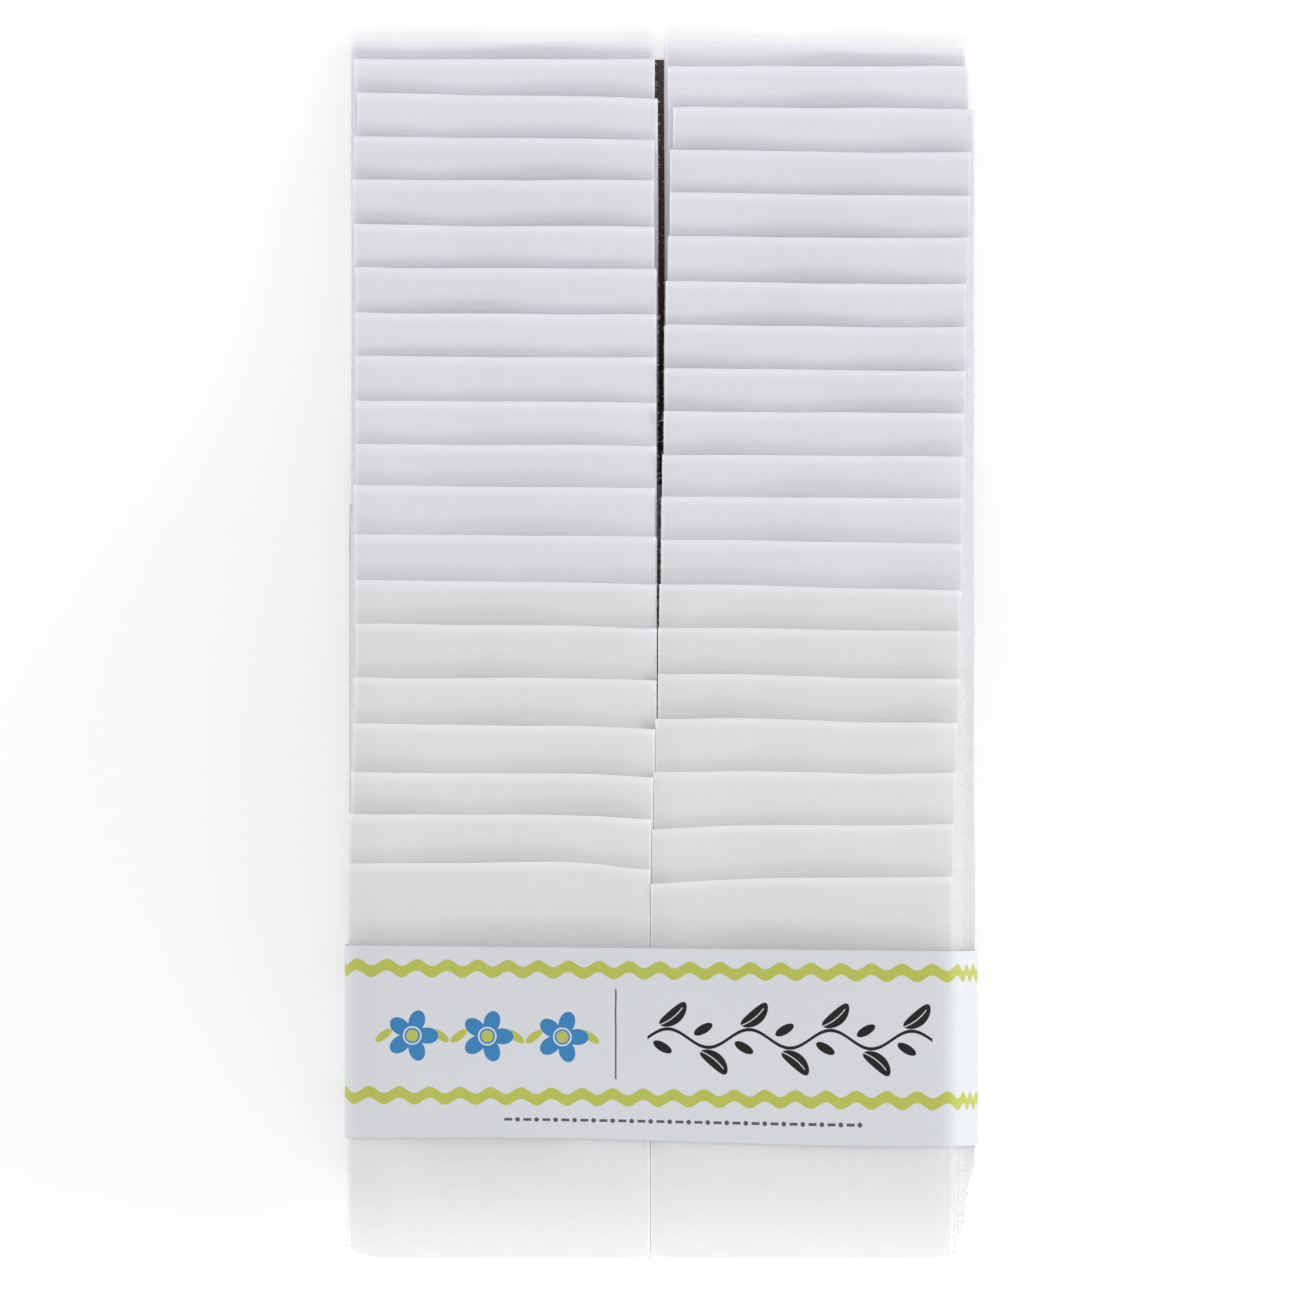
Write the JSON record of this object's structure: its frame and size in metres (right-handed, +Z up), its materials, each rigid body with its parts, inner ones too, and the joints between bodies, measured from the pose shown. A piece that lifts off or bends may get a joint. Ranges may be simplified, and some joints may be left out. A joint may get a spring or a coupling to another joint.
{
  "type": "banded pack of folded quilting cotton strips",
  "caption": "Flat pack of narrow precut cotton strips, folded in four, shingled in two stacks, turned under at one end and held by a paper band.",
  "frame": {"origin": "centre of the pack's box on the surface it lies on", "axes": "+Z up from the back of the pack; +Y from the rounded nose towards the thin shingled end; +X across the two stacks"},
  "size_m": [0.1342, 0.2571, 0.0451],
  "materials": {
    "cotton": "matt woven cotton",
    "paper": "uncoated printed paper"
  },
  "bodies": {
    "root": {"strip_left_01": "cotton", "strip_left_02": "cotton", "strip_left_03": "cotton", "strip_left_04": "cotton", "strip_left_05": "cotton", "strip_left_06": "cotton", "strip_left_07": "cotton", "strip_left_08": "cotton", "strip_left_09": "cotton", "strip_left_10": "cotton", "strip_left_11": "cotton", "strip_left_12": "cotton", "strip_left_13": "cotton", "strip_left_14": "cotton", "strip_left_15": "cotton", "strip_left_16": "cotton", "strip_left_17": "cotton", "strip_left_18": "cotton", "strip_left_19": "cotton", "strip_left_20": "cotton", "strip_right_01": "cotton", "strip_right_02": "cotton", "strip_right_03": "cotton", "strip_right_04": "cotton", "strip_right_05": "cotton", "strip_right_06": "cotton", "strip_right_07": "cotton", "strip_right_08": "cotton", "strip_right_09": "cotton", "strip_right_10": "cotton", "strip_right_11": "cotton", "strip_right_12": "cotton", "strip_right_13": "cotton", "strip_right_14": "cotton", "strip_right_15": "cotton", "strip_right_16": "cotton", "strip_right_17": "cotton", "strip_right_18": "cotton", "strip_right_19": "cotton", "strip_right_20": "cotton", "band": "paper"}
  },
  "joints": []
}
